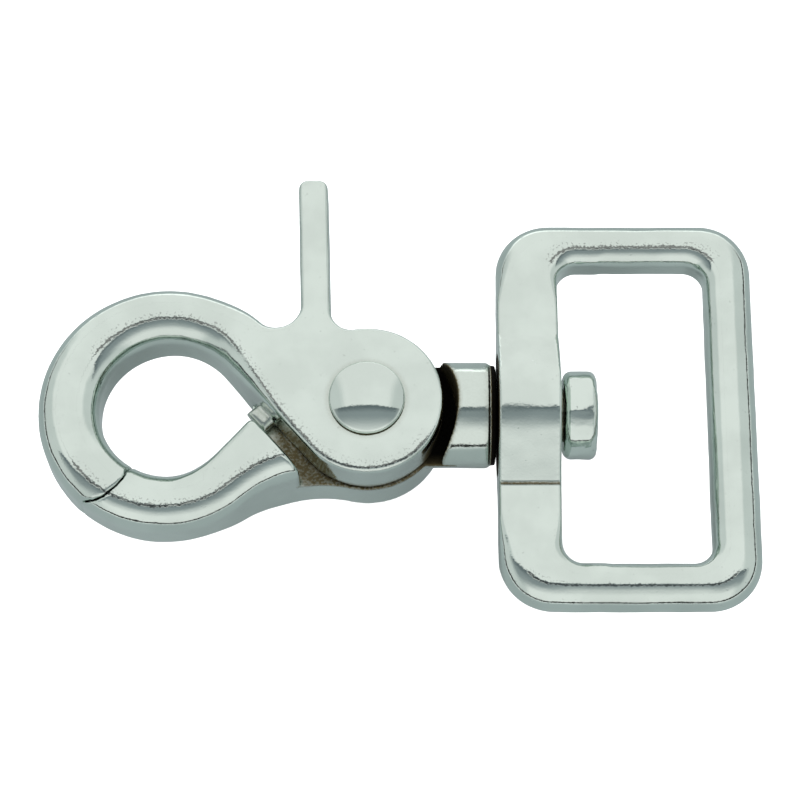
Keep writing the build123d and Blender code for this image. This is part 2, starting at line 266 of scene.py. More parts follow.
def solid(
    name: str,
    shape: Field,
    low: tuple[float, float, float],
    high: tuple[float, float, float],
    step: float,
    skin: Skin,
    tarnish_and_shade: Field | None = None,
    rim: Field | None = None,
) -> bpy.types.Object:
    """Makes one closed mesh from a distance field.

    Args:
        name: the new object's name.
        shape: the field, in millimetres.
        low: lowest corner of the box that holds the shape.
        high: highest corner of that box.
        step: distance between two grid points.
        skin: the unevenness of its surface.
        tarnish_and_shade: how brown each point is from tarnished metal and painted shade, 0 to 1,
            and up to 2 where black shade is painted.
        rim: distance from the painted dark reflection line along edges that turn towards -Y, in
            millimetres.

    Returns:
        The object, in metres, at the origin.
    """
    axes = [np.arange(a - 2.5 * step, b + 2.5 * step, step) for a, b in zip(low, high)]
    x, y, z = axes[0][:, None, None], axes[1][None, :, None], axes[2][None, None, :]
    values = np.broadcast_to(shape(x, y, z), [len(a) for a in axes]).astype(np.float32)
    grid = openvdb.FloatGrid(background=1.0)
    grid.copyFromArray(np.ascontiguousarray(np.clip(values, -1, 1)))
    points, quads = grid.convertToQuads(0.0)
    quads = quads.astype(np.int64)
    points = points.astype(np.float64) * step + np.array([a[0] for a in axes])
    points = relaxed(points, quads, 2)
    middle = points[quads].mean(1)
    cross = np.cross(
        points[quads[:, 2]] - points[quads[:, 0]], points[quads[:, 3]] - points[quads[:, 1]]
    )
    if (middle * cross).sum() < 0:
        quads = quads[:, ::-1]
    points = points + outward(points, quads) * skin.shift(points)[:, None]
    mesh = bpy.data.meshes.new(name)
    mesh.from_pydata((points * MM).tolist(), [], quads.tolist())
    mesh.shade_smooth()
    for label, source, absent in (("tarnish_and_shade", tarnish_and_shade, 0.0), ("rim", rim, NO_PAINTED_LINE)):
        value = np.full(len(points), absent)
        if source is not None:
            value = np.broadcast_to(source(*points.T), value.shape)
        mesh.attributes.new(label, "FLOAT", "POINT").data.foreach_set(
            "value", value.astype(np.float32)
        )
    obj = bpy.data.objects.new(name, mesh)
    bpy.context.scene.collection.objects.link(obj)
    return obj


# ---------------------------------------------------------------- finishes


@dataclass
class Graph:
    """Wires up the nodes of one shader tree."""

    tree: bpy.types.NodeTree

    def put(self, value: object, socket: bpy.types.NodeSocket) -> None:
        """Links a socket to an input, or sets the input to a number or colour."""
        if isinstance(value, bpy.types.NodeSocket):
            self.tree.links.new(value, socket)
        elif isinstance(value, tuple):
            socket.default_value = (*value, 1)
        else:
            socket.default_value = float(value)

    def math(self, kind: str, a: object, b: object = 0.0) -> bpy.types.NodeSocket:
        """Returns one sum, where either side is a socket or a number."""
        node = self.tree.nodes.new("ShaderNodeMath")
        node.operation = kind
        self.put(a, node.inputs[0])
        self.put(b, node.inputs[1])
        return node.outputs[0]

    def step(self, value: bpy.types.NodeSocket, low: float, high: float) -> bpy.types.NodeSocket:
        """Returns a smooth rise from 0 at low to 1 at high."""
        node = self.tree.nodes.new("ShaderNodeMapRange")
        node.interpolation_type = "SMOOTHSTEP"
        node.inputs["From Min"].default_value = low
        node.inputs["From Max"].default_value = high
        self.tree.links.new(value, node.inputs["Value"])
        return node.outputs["Result"]

    def fall(self, value: bpy.types.NodeSocket, low: float, high: float) -> bpy.types.NodeSocket:
        """Returns a smooth fall from 1 at low to 0 at high."""
        return self.math("SUBTRACT", 1.0, self.step(value, low, high))

    def mix(self, a: object, b: object, factor: object) -> bpy.types.NodeSocket:
        """Returns a mix of two colours."""
        node = self.tree.nodes.new("ShaderNodeMix")
        node.data_type = "RGBA"
        self.put(a, node.inputs["A"])
        self.put(b, node.inputs["B"])
        self.put(factor, node.inputs["Factor"])
        return node.outputs["Result"]

    def noise(
        self, place: bpy.types.NodeSocket, scale: float, detail: float
    ) -> bpy.types.NodeSocket:
        """Returns a noise value, 0 to 1, that follows a set of coordinates."""
        node = self.tree.nodes.new("ShaderNodeTexNoise")
        node.inputs["Scale"].default_value = scale
        node.inputs["Detail"].default_value = detail
        self.tree.links.new(place, node.inputs["Vector"])
        return node.outputs["Fac"]

    def mark(self, name: str) -> bpy.types.NodeSocket:
        """Returns a point attribute of the piece."""
        node = self.tree.nodes.new("ShaderNodeAttribute")
        node.attribute_name = name
        return node.outputs["Fac"]


@dataclass(frozen=True)
class Plating:
    """A bright plated metal with fine pits, polishing marks, brown tarnished hollows, painted shade
    and a painted dark reflection line.
    """

    name: str
    tint: tuple[float, float, float] = (0.668, 0.745, 0.690)
    brown: tuple[float, float, float] = (0.150, 0.122, 0.062)
    # The black stands for painted shade in narrow gaps.
    black_shade: tuple[float, float, float] = (0.012, 0.011, 0.009)
    smooth: float = 0.045
    rough: float = 0.125
    grain: float = 0.30
    pits: float = 0.3
    speckle: float = 0.14

    def material(self) -> bpy.types.Material:
        """Returns the material, made once."""
        known = bpy.data.materials.get(self.name)
        if known:
            return known
        made = bpy.data.materials.new(self.name)
        made.use_nodes = True
        graph = Graph(made.node_tree)
        metal = made.node_tree.nodes["Principled BSDF"]
        metal.inputs["Metallic"].default_value = 1.0
        place = made.node_tree.nodes.new("ShaderNodeTexCoord").outputs["Object"]
        tarnish_and_shade = graph.mark("tarnish_and_shade")
        fine, coarse = graph.noise(place, 5200, 2), graph.noise(place, 1100, 3)
        cloud = graph.noise(place, 240, 3)
        pit = graph.step(graph.noise(place, 2600, 2), 0.68, 0.78)
        # A painted dark reflection line, made ragged, where edges turn towards -Y, with painted
        # dark specks beside it.
        rim = graph.mark("rim")
        ragged = graph.math("ADD", graph.math("MULTIPLY", graph.math("SUBTRACT", fine, 0.5), 0.42),
                            graph.math("MULTIPLY", graph.math("SUBTRACT", coarse, 0.5), 0.16))
        from_line = graph.math("ABSOLUTE", graph.math("ADD", rim, ragged))
        line = graph.fall(from_line, 0.02, 0.15)
        line = graph.math("MULTIPLY", line, graph.step(cloud, 0.25, 0.45))
        beside = graph.fall(graph.math("ABSOLUTE", graph.math("ADD", rim, 0.25)), 0.1, 0.6)
        specks_beside_line = graph.math("MULTIPLY", beside, graph.step(fine, 0.55, 0.65))
        dark = graph.math("MAXIMUM", graph.math("MULTIPLY", line, 0.85),
                          graph.math("MULTIPLY", specks_beside_line, 0.40))
        dark = graph.math("MAXIMUM", dark, graph.math("MULTIPLY", pit, self.speckle))
        dim = tuple(channel * 0.92 for channel in self.tint)
        colour = graph.mix(self.tint, dim, graph.step(cloud, 0.35, 0.65))
        colour = graph.mix(colour, (0.10, 0.105, 0.10), dark)
        # Tarnished metal and painted shade brown the hollows in patches, and values above 1 paint
        # black shade in gaps.
        patches = graph.math("MULTIPLY", graph.step(fine, 0.35, 0.65), 0.35)
        patchy = graph.math("MULTIPLY", tarnish_and_shade, graph.math("ADD", patches, 0.78))
        colour = graph.mix(colour, self.brown, patchy)
        colour = graph.mix(colour, self.black_shade, graph.math("SUBTRACT", tarnish_and_shade, 1.0))
        graph.put(colour, metal.inputs["Base Color"])
        spread = graph.math("MULTIPLY", graph.step(cloud, 0.35, 0.7), self.rough - self.smooth)
        spread = graph.math("ADD", spread, self.smooth)
        spread = graph.math("ADD", spread, graph.math("MULTIPLY", tarnish_and_shade, 0.4))
        graph.put(spread, metal.inputs["Roughness"])
        height = graph.math("ADD", graph.math("MULTIPLY", pit, -self.pits),
                            graph.math("MULTIPLY", fine, self.grain))
        height = graph.math("ADD", height, graph.math("MULTIPLY", dark, -0.6))
        crust = graph.math("MULTIPLY", coarse, tarnish_and_shade)
        height = graph.math("ADD", height, graph.math("MULTIPLY", crust, 6.0))
        bump = made.node_tree.nodes.new("ShaderNodeBump")
        bump.inputs["Strength"].default_value = 0.5
        bump.inputs["Distance"].default_value = 0.00003
        graph.put(height, bump.inputs["Height"])
        graph.put(bump.outputs["Normal"], metal.inputs["Normal"])
        return made


ZINC = Plating("plated zinc")
RIVET_FINISH = Plating("plated rivet", smooth=0.04, rough=0.09, grain=0.1, pits=0.1, speckle=0.03)
PIN_FINISH = Plating("plated pin", smooth=0.05, rough=0.16, grain=0.6, speckle=0.35)
WIRE_FINISH = Plating("spring wire", tint=(0.45, 0.45, 0.46), smooth=0.25, rough=0.4)


def settle(
    obj: bpy.types.Object, body: Body, node: str, finish: Plating
) -> bpy.types.Object:
    """Dresses a finished piece and puts it on its body in place of a frame node.

    Args:
        obj: the piece.
        body: the body it moves with.
        node: the frame node it stands for, or an empty string for none.
        finish: its finish.

    Returns:
        The same piece.
    """
    obj.data.materials.clear()
    obj.data.materials.append(finish.material())
    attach(obj, body.value)
    if node:
        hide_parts(node)
    LOG.info("%s: %d faces on %s", obj.name, len(obj.data.polygons), body.value)
    return obj


# ---------------------------------------------------------------- sub-assemblies


@dataclass
class HookPlan:
    """Sizes that the two jaws share, in millimetres."""

    eye_r: float = 5.6
    ring_r: float = 10.15
    ring_x: float = -0.33
    eye_end_x: float = 6.45
    jaw_slope: float = 45.0
    ring_half_t: float = 3.05
    hub_half_t: float = 4.0
    ring_round: float = 1.95
    hub_round: float = 0.4
    pivot_x: float = 15.65
    front_hub_r: float = 6.05
    rear_hub_r: float = 6.2
    plate_gap: float = 0.1
    sweep_r: float = 6.5
    pocket_r: float = 4.3
    pocket_depth: float = 1.9
    end_gap: float = 1.6
    split_step: float = 0.07

    def __post_init__(self) -> None:
        """Works out the points where the outlines' lines and arcs meet."""
        self.pivot: Point = (self.pivot_x, 0.0)
        self.ring: Point = (self.ring_x, 0.0)
        self.tangent = math.degrees(math.acos((self.eye_r + self.front_hub_r) / self.pivot_x))
        self.eye_tangent = polar((0, 0), self.eye_r, self.tangent)
        self.end_point = polar(self.pivot, self.front_hub_r + self.end_gap, self.tangent + 180)
        self.split: list[Point] = [
            (-2.6, -4.6), (-3.2, -5.5), (-3.35, -6.1), (-3.9, -6.8),
            (-4.9, -7.65), (-5.7, -7.85), (-7.5, -7.6),
        ]

    def under_split(self, x: np.ndarray, y: np.ndarray, step: float, reach: float) -> np.ndarray:
        """Distance to what lies under the split between the hook tips.

        Args:
            x: coordinates to measure at.
            y: coordinates to measure at.
            step: how far the split is moved along X and against Y.
            reach: how far right it counts, 5 for the ring's foot alone.

        Returns:
            The distance, negative under the split.
        """
        points = [(a + step, b - step) for a, b in self.split]
        points += [(self.split[-1][0] + step, -30.0), (reach, -30.0)]
        if reach > self.pivot_x:
            points += [(reach, 30.0)]
        return outline_distance(points + [(1.0, 3.0 if reach > self.pivot_x else 0.0)], x, y)

    def half_thickness(self, x: np.ndarray) -> np.ndarray:
        """Returns the half thickness, which grows from the ring to the hub."""
        return self.ring_half_t + (self.hub_half_t - self.ring_half_t) * ease(2.0, 9.0, x)

    def edge_radius(self, x: np.ndarray) -> np.ndarray:
        """Returns the edges' radius, which shrinks from the ring to the hub."""
        return self.ring_round + (self.hub_round - self.ring_round) * ease(3.5, 10.0, x)

    def eye(self, x: np.ndarray, y: np.ndarray) -> np.ndarray:
        """Returns the distance to the round part of the eye."""
        return np.hypot(x, y) - self.eye_r

    def about_pivot(self, x: np.ndarray, y: np.ndarray) -> np.ndarray:
        """Returns the distance from the pivot's axis."""
        return np.hypot(x - self.pivot_x, y)

    def below(self, x: np.ndarray, y: np.ndarray, degrees: float) -> np.ndarray:
        """Returns the distance above a radial line that runs left from the pivot."""
        angle = math.radians(degrees)
        return (x - self.pivot_x) * math.sin(angle) + y * math.cos(angle)


@dataclass
class TriggerJaw(HookPlan):
    """The hook arm, its front hub plate and the thumb trigger."""

    stem_top: float = 18.9
    stem_x: float = 11.55
    stem_w: float = 2.4
    stem_lean: float = -0.3
    stem_rear_z: float = -1.6
    tip_r: float = 0.75
    saddle_r: float = 1.8
    shoulder_r: float = 1.6
    divider: float = 7.4
    lug_start: float = 4.2
    lug_length: float = 2.1
    lug_width: float = 1.25
    lug_height: float = 1.3
    lug_round: float = 0.6
    stem_round: float = 0.45
    rivet_bore: float = 1.66

    def tip(self, left: float, right: float) -> list[Point]:
        """Returns the trigger's round-cornered tip, from its right side to its left."""
        radius, low = self.tip_r, self.stem_top - self.tip_r
        points = arc((right - radius, low), radius, 0, 90, 15)
        return points + arc((left + radius, low), radius, 90, 180, 15)

    def front(self) -> list[Point]:
        """Returns the outline seen from the front, counter-clockwise from the eye's tangent."""
        left, right = self.stem_x - self.stem_w / 2, self.stem_x + self.stem_w / 2
        reach = self.ring_r + self.saddle_r
        saddle_x = left - self.saddle_r
        saddle = (saddle_x, math.sqrt(reach**2 - (saddle_x - self.ring_x) ** 2))
        shoulder_x = right + self.shoulder_r
        reach = self.front_hub_r + self.shoulder_r
        shoulder = (shoulder_x, math.sqrt(reach**2 - (shoulder_x - self.pivot_x) ** 2))
        on_hub = bearing(self.pivot, shoulder)
        on_ring = bearing(self.ring, saddle)
        start = self.tangent - 180
        points = arc(self.pivot, self.front_hub_r, start, on_hub)
        points += arc(shoulder, self.shoulder_r, on_hub + 180, 180, 4)
        points += [(right, shoulder[1] + 0.5)]
        points += self.tip(left + self.stem_lean, right + self.stem_lean)
        points += arc(saddle, self.saddle_r, 0, on_ring - 180, 4)
        points += arc(self.ring, self.ring_r, on_ring, 270)
        points += arc((0, 0), self.eye_r, 270, self.tangent)
        return points

    def shape(self, x: np.ndarray, y: np.ndarray, z: np.ndarray) -> np.ndarray:
        """Returns the jaw's distance field."""
        flat = outline_distance(self.front(), x, y)
        face = np.abs(z) - self.half_thickness(x)
        whole = edge(flat, face, self.edge_radius(x))
        whole = edge(whole, -self.under_split(x, y, 0.0, 5.0), SPLIT_EDGE)
        plate = np.maximum(whole, self.plate_gap - z)
        above = np.minimum(-self.below(x, y, self.divider), x)
        behind = np.maximum(self.sweep_r - self.about_pivot(x, y), above)
        arm = np.maximum(whole, np.hypot(x - self.ring_x, y) - self.ring_r)
        arm = np.maximum(arm, behind)
        left, right = self.stem_x - self.stem_w / 2, self.stem_x + self.stem_w / 2
        lean = self.stem_lean
        stem_flat = outline_distance(
            [(left, 5.6), (right, 5.6), (right, 7.0), *self.tip(left + lean, right + lean),
             (left, 7.0)], x, y,
        )
        middle = (self.hub_half_t + self.stem_rear_z) / 2
        stem_half_t = (self.hub_half_t - self.stem_rear_z) / 2
        stem = edge(stem_flat, np.abs(z - middle) - stem_half_t, self.stem_round)
        made = np.minimum(np.minimum(plate, arm), stem)
        made = np.minimum(made, self.lug(x, y, z))
        pocket = np.maximum(self.about_pivot(x, y) - self.pocket_r,
                            z - self.plate_gap - self.pocket_depth)
        made = np.maximum(made, -pocket)
        return np.maximum(made, self.rivet_bore - self.about_pivot(x, y))

    def lug(self, x: np.ndarray, y: np.ndarray, z: np.ndarray) -> np.ndarray:
        """Returns the field of the closing stop beside the gap."""
        angle = math.radians(self.tangent)
        out = x * math.cos(angle) + y * math.sin(angle) - self.eye_r
        along = x * math.sin(angle) - y * math.cos(angle) - self.lug_start - self.lug_length / 2
        side = np.maximum(np.abs(along) - self.lug_length / 2, -out - self.lug_width)
        side = np.maximum(side, out - 0.6)
        middle = self.plate_gap + self.lug_height / 2
        return edge(side, np.abs(z - middle) - self.lug_height / 2, self.lug_round)

    def rim(self, x: np.ndarray, y: np.ndarray, z: np.ndarray) -> np.ndarray:
        """Returns how far each point is from the painted dark reflection line round the front face.
        """
        outline = self.front()
        line = painted_reflection_line(lambda a, b: outline_distance(outline, a, b), self.edge_radius(x), x, y)
        return np.where(np.abs(z) > 1.2, line, NO_PAINTED_LINE)

    def tarnish_and_shade(self, x: np.ndarray, y: np.ndarray, z: np.ndarray) -> np.ndarray:
        """Returns the brown stain round the rivet, and painted shade under the plate, by the barrel
        and on the lug.
        """
        away = self.about_pivot(x, y)
        stain = 0.2 * (1 - ease(3.0, 3.5, away)) * ease(3.4, 3.8, z)
        # Painted shade on the plate's underside and lower wall in the gap.
        inner = 0.9 * (1 - ease(0.1, 1.0, z)) * (away < 6.2)
        # Painted black shade where the jaw faces the crescent by the barrel.
        black_shade = 2.0 * (1 - ease(1.0, 3.2, z)) * ease(19.0, 20.5, x) * ease(-5.0, -3.0, y)
        # The lug below the plate gets painted shade.
        return np.maximum.reduce([stain, inner, black_shade, 0.22 * (self.lug(x, y, z) < 0.15)])

    def build(self, step: float) -> bpy.types.Object:
        """Makes the piece and puts it on the jaw."""
        low, high = (-10.6, -8.2, -3.3), (21.8, 19.0, 4.1)
        obj = solid(
            "trigger_jaw_casting", self.shape, low, high, step, Skin(11), self.tarnish_and_shade, self.rim
        )
        return settle(obj, Body.JAW, "trigger_jaw", ZINC)


@dataclass
class HookBody(HookPlan):
    """The lower jaw, the rear hub plate and the swivel barrel."""

    web_r: float = 10.0
    divider: float = 5.6
    barrel_r: float = 4.22
    barrel_start: float = 20.3
    barrel_end: float = 25.49
    barrel_round: float = 0.5
    land_r: float = 3.98
    land_end: float = 25.85
    crescent_r: float = 7.15
    seat_r: float = 2.1
    seat_x: float = 22.95
    end_round: float = 0.5
    rivet_r: float = 1.6

    def outline(self) -> list[Point]:
        """Returns the outline of the jaw and its web, without the round parts of eye and hub."""
        gap = self.pivot_x - self.ring_x
        ring_reach, hub_reach = self.ring_r + self.web_r, self.rear_hub_r + self.web_r
        along = (ring_reach**2 - hub_reach**2 + gap**2) / (2 * gap)
        web = (self.ring_x + along, -math.sqrt(ring_reach**2 - along**2))
        touch = polar((0, 0), self.eye_r, self.jaw_slope - 90)
        rise = (self.eye_end_x - touch[0]) * math.tan(math.radians(self.jaw_slope))
        top = (self.pivot_x - self.eye_end_x) * math.tan(math.radians(self.divider))
        points = arc(self.ring, self.ring_r, -155, bearing(self.ring, web))
        points += arc(
            web, self.web_r, bearing(self.ring, web) + 180, bearing(self.pivot, web) + 180
        )
        points += [self.pivot, (self.eye_end_x, top), (self.eye_end_x, touch[1] + rise)]
        return points + [touch, (0, 0)]

    def flat(self, x: np.ndarray, y: np.ndarray) -> np.ndarray:
        """Returns the distance to the lower jaw's outline."""
        return np.maximum(outline_distance(self.outline(), x, y), -self.eye(x, y))

    def jaw_radius(self, x: np.ndarray, y: np.ndarray) -> np.ndarray:
        """Returns the jaw's edge radius, which stays large outside and shrinks beside the eye."""
        inner = (1 - ease(0.6, 1.8, np.hypot(x, y) - self.eye_r)) * ease(0.0, 4.5, x)
        slope = math.sqrt(0.5)
        straight = 1 - ease(0.8, 2.2, slope * (x - y) - self.eye_r)
        inner = np.maximum(inner, straight * ease(2.5, 5.0, x))
        return self.ring_round + (0.55 - self.ring_round) * inner

    def rim(self, x: np.ndarray, y: np.ndarray, z: np.ndarray) -> np.ndarray:
        """Returns how far each point is from the painted dark reflection line along the jaw's face.
        """
        line = painted_reflection_line(self.flat, self.jaw_radius(x, y), x, y)
        return np.where((z > 1.2) & (x < 12), line, NO_PAINTED_LINE)

    def shape(self, x: np.ndarray, y: np.ndarray, z: np.ndarray) -> np.ndarray:
        """Returns the body's distance field."""
        flat = self.flat(x, y)
        face = np.abs(z) - self.half_thickness(x)
        angle = math.radians(self.tangent)
        end = (x - self.end_point[0]) * math.cos(angle) + (y - self.end_point[1]) * math.sin(angle)
        jaw = edge(edge(flat, face, self.jaw_radius(x, y)), end, self.end_round)
        away = self.about_pivot(x, y)
        rear_flat = np.minimum(flat, away - self.rear_hub_r)
        rear = np.maximum(edge(rear_flat, face, self.edge_radius(x)), z + self.plate_gap)
        keep = self.under_split(x, y, self.split_step, 40.0)
        jaw, rear = edge(jaw, keep, SPLIT_EDGE), np.maximum(rear, keep)
        radial = np.hypot(y, z)
        barrel = edge(radial - self.barrel_r, x - self.barrel_end, self.barrel_round)
        land = edge(radial - self.land_r, x - self.land_end, 0.1)
        barrel = np.maximum(np.minimum(barrel, land), self.barrel_start - x)
        hollow = np.maximum(away - self.crescent_r, -self.plate_gap - z)
        barrel = edge(barrel, -hollow, 0.15)
        made = np.minimum(np.minimum(jaw, rear), barrel)
        pocket = np.maximum(away - self.pocket_r, -z - self.plate_gap - self.pocket_depth)
        made = np.maximum(made, -pocket)
        made = np.maximum(made, self.rivet_r - away)
        return np.maximum(made, -np.maximum(radial - self.seat_r, self.seat_x - x))

    def tarnish_and_shade(self, x: np.ndarray, y: np.ndarray, z: np.ndarray) -> np.ndarray:
        """Returns the brown tarnished floor in the gap, and painted black shade towards the barrel,
        in the crescent and on the swivel's face.
        """
        away = self.about_pivot(x, y)
        floor = (1 - ease(0.0, 0.35, np.abs(z + 0.1))) * (away < 8.2)
        towards_barrel = ease(18.5, 20.5, x) * ease(-5.0, -3.0, y)
        # The floor is lighter far from the pivot, and runs into painted black shade towards the
        # barrel.
        floor = floor * (0.98 - 0.45 * ease(7.0, 8.0, away) + 1.05 * towards_barrel)
        # Painted black shade in the crescent gap round the hub.
        crescent = 2.0 * (1 - ease(7.05, 7.4, away)) * ease(-0.3, 1.0, z + y * 0.2) * (x > 18)
        crescent = np.maximum(crescent, 0.7 * (1 - ease(7.1, 7.6, away)) * (z > -0.3) * (x > 12))
        # Painted black shade on the barrel's end face in the swivel gap.
        swivel = ease(self.barrel_end - 0.14, self.barrel_end, x)
        rim = 0.07 * (x > 20.5) + 0.2 * ease(self.barrel_end - 0.7, self.barrel_end - 0.2, x)
        return np.maximum(np.maximum(floor, crescent), np.maximum(2.0 * swivel, rim))

    def build(self, step: float) -> bpy.types.Object:
        """Makes the piece and puts it on the hook body."""
        low, high = (-7.5, -10.6, -4.4), (25.95, 6.4, 4.4)
        obj = solid(
            "hook_body_casting", self.shape, low, high, step, Skin(23), self.tarnish_and_shade, self.rim
        )
        return settle(obj, Body.HOOK, "body", ZINC)


@dataclass
class PivotRivet:
    """The round-headed rivet that both plates turn on."""

    pivot_x: float = 15.65
    shank_r: float = 1.6
    head_r: float = 3.0
    head_base: float = 4.05
    head_height: float = 1.25
    rim: float = 0.35
    rear_r: float = 2.5
    rear_height: float = 0.6
    plate_z: float = 4.0

    def shape(self, x: np.ndarray, y: np.ndarray, z: np.ndarray) -> np.ndarray:
        """Returns the rivet's distance field."""
        away = np.hypot(x - self.pivot_x, y)
        rise = self.head_height - self.rim
        dome_r = (self.head_r**2 + rise**2) / (2 * rise)
        dome = np.hypot(away, z - (self.head_base + self.head_height - dome_r)) - dome_r
        head = np.maximum(edge(away - self.head_r, dome, 0.12), self.head_base - z)
        shank = np.maximum(away - self.shank_r, np.abs(z) - self.head_base)
        low = -self.plate_z - self.rear_height
        rear = edge(away - self.rear_r, low - z, 0.25)
        rear = np.maximum(rear, z + self.plate_z)
        return np.minimum(np.minimum(head, shank), rear)

    def tarnish_and_shade(self, x: np.ndarray, y: np.ndarray, z: np.ndarray) -> np.ndarray:
        """Returns painted shade in the crease where the dome meets the plate."""
        return 1.3 * (1 - ease(self.head_base + 0.04, self.head_base + 0.26, z)) * (z > 3)

    def build(self, step: float) -> bpy.types.Object:
        """Makes the piece and puts it on the hook body."""
        side = self.head_r + 0.05
        low, high = (self.pivot_x - side, -side, -4.65), (self.pivot_x + side, side, 5.35)
        skin = Skin(31, swell=0.006, ripple=0.002)
        obj = solid("pivot_rivet_head", self.shape, low, high, step * 0.7, skin, self.tarnish_and_shade)
        return settle(obj, Body.HOOK, "pivot_rivet", RIVET_FINISH)


@dataclass
class SwivelPin:
    """The headed pin that the strap loop turns on."""

    shank_r: float = 2.1
    seat_x: float = 22.95
    head_x: float = 31.2
    head_length: float = 2.7
    head_r: float = 3.54
    head_round: float = 0.7

    def shape(self, x: np.ndarray, y: np.ndarray, z: np.ndarray) -> np.ndarray:
        """Returns the pin's distance field."""
        radial = np.hypot(y, z)
        middle = self.head_x + self.head_length / 2
        ends = np.abs(x - middle) - self.head_length / 2
        head = edge(radial - self.head_r, ends, self.head_round)
        shank = np.maximum(radial - self.shank_r, np.maximum(self.seat_x - x, x - middle))
        return np.minimum(head, shank)

    def tarnish_and_shade(self, x: np.ndarray, y: np.ndarray, z: np.ndarray) -> np.ndarray:
        """Returns painted black shade on the shank, which is all that shows in the swivel gap."""
        return 2.0 * (1 - ease(self.head_x - 0.3, self.head_x + 0.12, x))

    def build(self, step: float) -> bpy.types.Object:
        """Makes the piece and puts it on the hook body."""
        side = self.head_r + 0.05
        low, high = (self.seat_x, -side, -side), (self.head_x + self.head_length, side, side)
        skin = Skin(41, swell=0.03, swell_size=2.6, ripple=0.014, ripple_size=0.9)
        obj = solid("swivel_pin_head", self.shape, low, high, step * 0.8, skin, self.tarnish_and_shade)
        return settle(obj, Body.HOOK, "swivel_pin", PIN_FINISH)


@dataclass
class StrapLoop:
    """The rectangular strap eye with its round boss."""

    x0: float = 26.0
    x1: float = 46.7
    half_y: float = 16.25
    slot_x0: float = 30.95
    slot_x1: float = 42.8
    slot_half_y: float = 12.5
    half_t: float = 1.95
    outer_round: float = 2.15
    inner_round: float = 1.5
    corner_r: float = 4.2
    slot_corner_r: float = 1.6
    bar_edge: float = 0.32
    boss_r: float = 5.05
    boss_base: float = 6.3
    bore_r: float = 2.15

    def boss(self, y: np.ndarray, z: np.ndarray) -> np.ndarray:
        """Returns the field of the boss's section, a circle with two flat flanks."""
        base = math.degrees(math.atan2(self.half_t, self.boss_base))
        reach = math.hypot(self.boss_base, self.half_t)
        touch = polar((0, 0), self.boss_r, base + math.degrees(math.acos(self.boss_r / reach)))
        quarter = [(self.boss_base, self.half_t), touch]
        points = quarter + [(-a, b) for a, b in reversed(quarter)]
        points += [(-a, -b) for a, b in quarter] + [(a, -b) for a, b in reversed(quarter)]
        return np.minimum(outline_distance(points, y, z), np.hypot(y, z) - self.boss_r)

    def borders(self, x: np.ndarray, y: np.ndarray) -> tuple[np.ndarray, np.ndarray]:
        """Returns the distances to the loop's outer border and to its slot."""
        outside = rounded_rectangle(
            x, y, (self.x0, -self.half_y), (self.x1, self.half_y), self.corner_r
        )
        slot = rounded_rectangle(
            x, y, (self.slot_x0, -self.slot_half_y), (self.slot_x1, self.slot_half_y),
            self.slot_corner_r,
        )
        return outside, slot

    def flat(self, x: np.ndarray, y: np.ndarray) -> np.ndarray:
        """Returns the distance to the loop's outline."""
        outside, slot = self.borders(x, y)
        return np.maximum(outside, -slot)

    def edge_radius(self, x: np.ndarray, y: np.ndarray) -> np.ndarray:
        """Returns the edges' radius, small on the flat bar and full on the round ones."""
        rounder = np.maximum(ease(8.2, 14.2, np.abs(y)), ease(32.0, 35.0, x))
        outside, slot = self.borders(x, y)
        outward_share = ease(-1.6, 1.6, outside + slot)
        full = self.inner_round + (self.outer_round - self.inner_round) * outward_share
        return self.bar_edge + (full - self.bar_edge) * rounder

    def rim(self, x: np.ndarray, y: np.ndarray, z: np.ndarray) -> np.ndarray:
        """Returns how far each point is from the painted dark reflection line round the face."""
        line = painted_reflection_line(self.flat, self.edge_radius(x, y), x, y)
        return np.where(np.abs(z) > 0.9, line, NO_PAINTED_LINE)

    def shape(self, x: np.ndarray, y: np.ndarray, z: np.ndarray) -> np.ndarray:
        """Returns the loop's distance field."""
        frame = edge(self.flat(x, y), np.abs(z) - self.half_t, self.edge_radius(x, y))
        middle, half = (self.x0 + self.slot_x0) / 2, (self.slot_x0 - self.x0) / 2
        boss = edge(self.boss(y, z), np.abs(x - middle) - half, self.bar_edge)
        made = np.minimum(frame, boss)
        bore = np.maximum(np.hypot(y, z) - self.bore_r, x - self.slot_x0 - 1)
        return np.maximum(made, -bore)

    def tarnish_and_shade(self, x: np.ndarray, y: np.ndarray, z: np.ndarray) -> np.ndarray:
        """Returns painted black shade on the boss's face in the swivel gap, and a painted shade
        line in the crease beside it.
        """
        # Painted black shade on the face inside the swivel gap.
        face = (1 - ease(self.x0, self.x0 + 0.12, x)) * (np.hypot(y, z) < 4.9)
        # Painted shade line along the boss's lower crease.
        crease = (1 - ease(0.03, 0.15, np.hypot(y + self.boss_base, z - self.half_t))) * (x < 31)
        return np.maximum(2.0 * face, 1.3 * crease)

    def build(self, step: float) -> bpy.types.Object:
        """Makes the piece and puts it on the loop."""
        low, high = (self.x0, -self.half_y, -self.boss_r), (self.x1, self.half_y, self.boss_r)
        obj = solid(
            "strap_loop_casting", self.shape, low, high, step, Skin(57), self.tarnish_and_shade, self.rim
        )
        return settle(obj, Body.LOOP, "strap_loop", ZINC)


